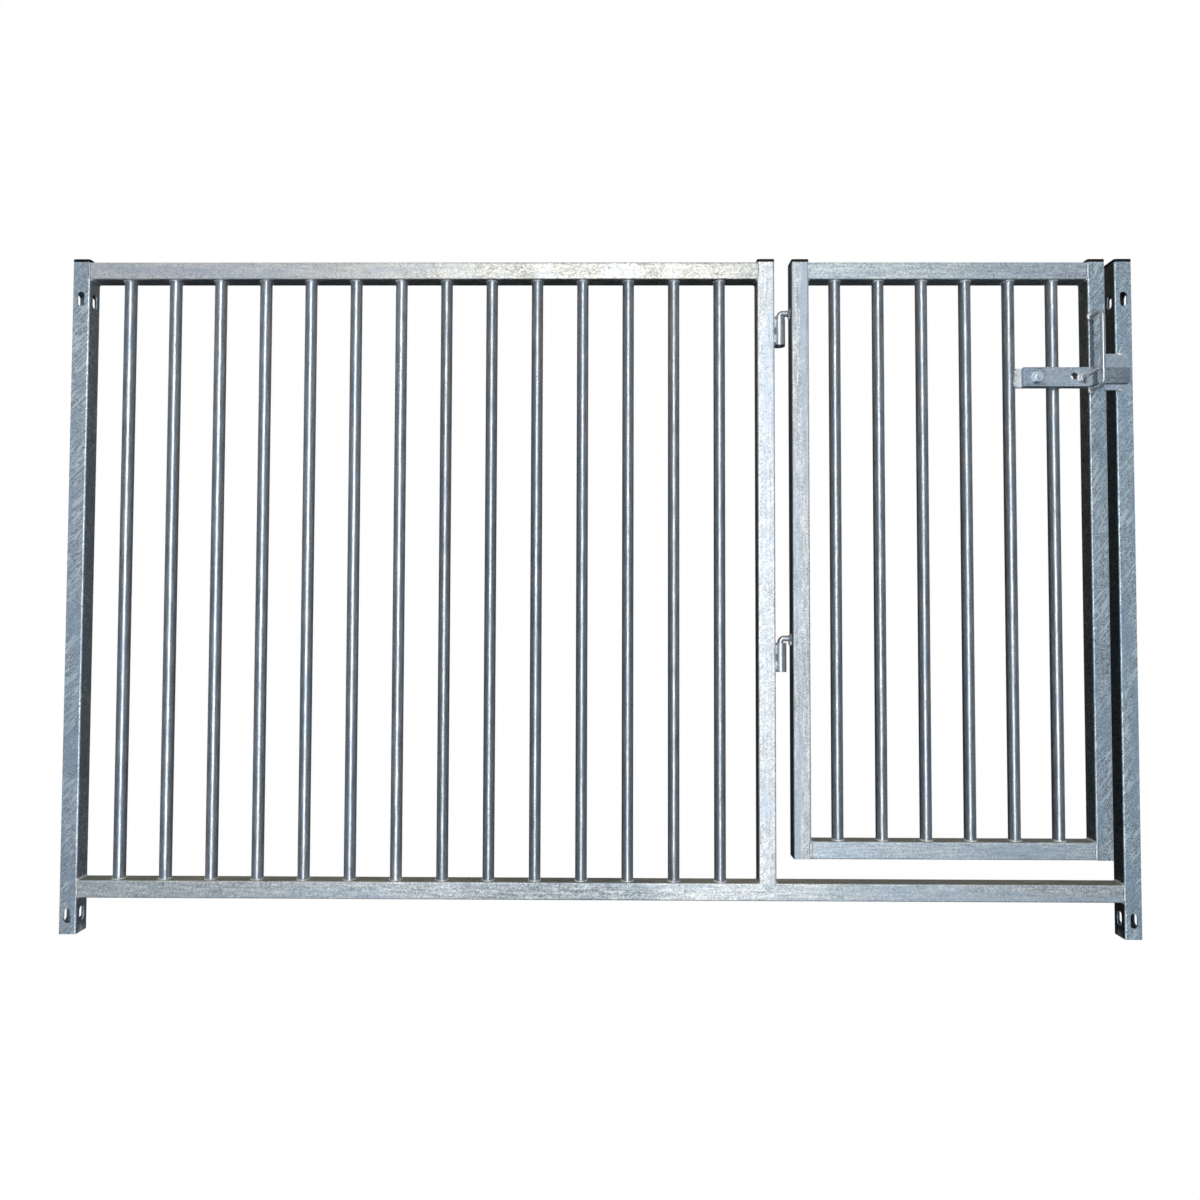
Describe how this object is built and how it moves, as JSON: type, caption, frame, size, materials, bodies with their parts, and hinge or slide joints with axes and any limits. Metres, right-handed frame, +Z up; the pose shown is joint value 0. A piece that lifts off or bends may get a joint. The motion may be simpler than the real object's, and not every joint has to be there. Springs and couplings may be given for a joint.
{
  "type": "garden gate panel",
  "caption": "Galvanised steel bar panel of square tube and round bars with a built-in swing gate, lift-off pin hinges, a lift latch in a staple and a padlock hole.",
  "frame": {"origin": "centre of the left post's foot, on the ground", "axes": "+X along the panel from the left post to the latch post, +Y to the back, away from the side with the latch, +Z up"},
  "size_m": [1.84, 0.0848, 1.165],
  "materials": {
    "zinc_tube": "hot-dip galvanised, mottled grey with a low sheen",
    "zinc_fitting": "hot-dip galvanised, slightly darker and glossier on rod and plate",
    "zinc_fastener": "zinc-plated, bright",
    "cap_plastic": "black, matt"
  },
  "bodies": {
    "panel": {"left_post": "zinc_tube", "mid_post": "zinc_tube", "right_post": "zinc_tube", "top_rail": "zinc_tube", "bottom_rail": "zinc_tube", "panel_bar_01": "zinc_tube", "panel_bar_02": "zinc_tube", "panel_bar_03": "zinc_tube", "panel_bar_04": "zinc_tube", "panel_bar_05": "zinc_tube", "panel_bar_06": "zinc_tube", "panel_bar_07": "zinc_tube", "panel_bar_08": "zinc_tube", "panel_bar_09": "zinc_tube", "panel_bar_10": "zinc_tube", "panel_bar_11": "zinc_tube", "panel_bar_12": "zinc_tube", "panel_bar_13": "zinc_tube", "panel_bar_14": "zinc_tube", "left_post_cap": "cap_plastic", "mid_post_cap": "cap_plastic", "right_post_cap": "cap_plastic", "hinge_barrel_bottom": "zinc_fitting", "hinge_barrel_top": "zinc_fitting", "keeper_plate": "zinc_fitting"},
    "gate": {"gate_hinge_stile": "zinc_tube", "gate_latch_stile": "zinc_tube", "gate_top_rail": "zinc_tube", "gate_bottom_rail": "zinc_tube", "gate_bar_1": "zinc_tube", "gate_bar_2": "zinc_tube", "gate_bar_3": "zinc_tube", "gate_bar_4": "zinc_tube", "gate_bar_5": "zinc_tube", "gate_bar_6": "zinc_tube", "gate_hinge_cap": "cap_plastic", "gate_latch_cap": "cap_plastic", "hinge_pin_bottom": "zinc_fitting", "hinge_pin_top": "zinc_fitting", "latch_staple": "zinc_fitting", "latch_bracket": "zinc_fitting", "pivot_bolt": "zinc_fastener", "pivot_washer": "zinc_fastener", "pivot_nut": "zinc_fastener"},
    "latch": {"latch_arm": "zinc_fitting", "finger_rod": "zinc_fitting"}
  },
  "joints": [
    {"name": "gate_swing", "type": "hinge", "parent": "panel", "child": "gate", "pos_m": [1.2185, 0, 0.758], "axis": [0, 0, 1], "range_deg": [0, 100]},
    {"name": "latch_lift", "type": "hinge", "parent": "gate", "child": "latch", "pos_m": [1.653, -0.0208, 0.955], "axis": [0, -1, 0], "range_deg": [0, 38]}
  ]
}
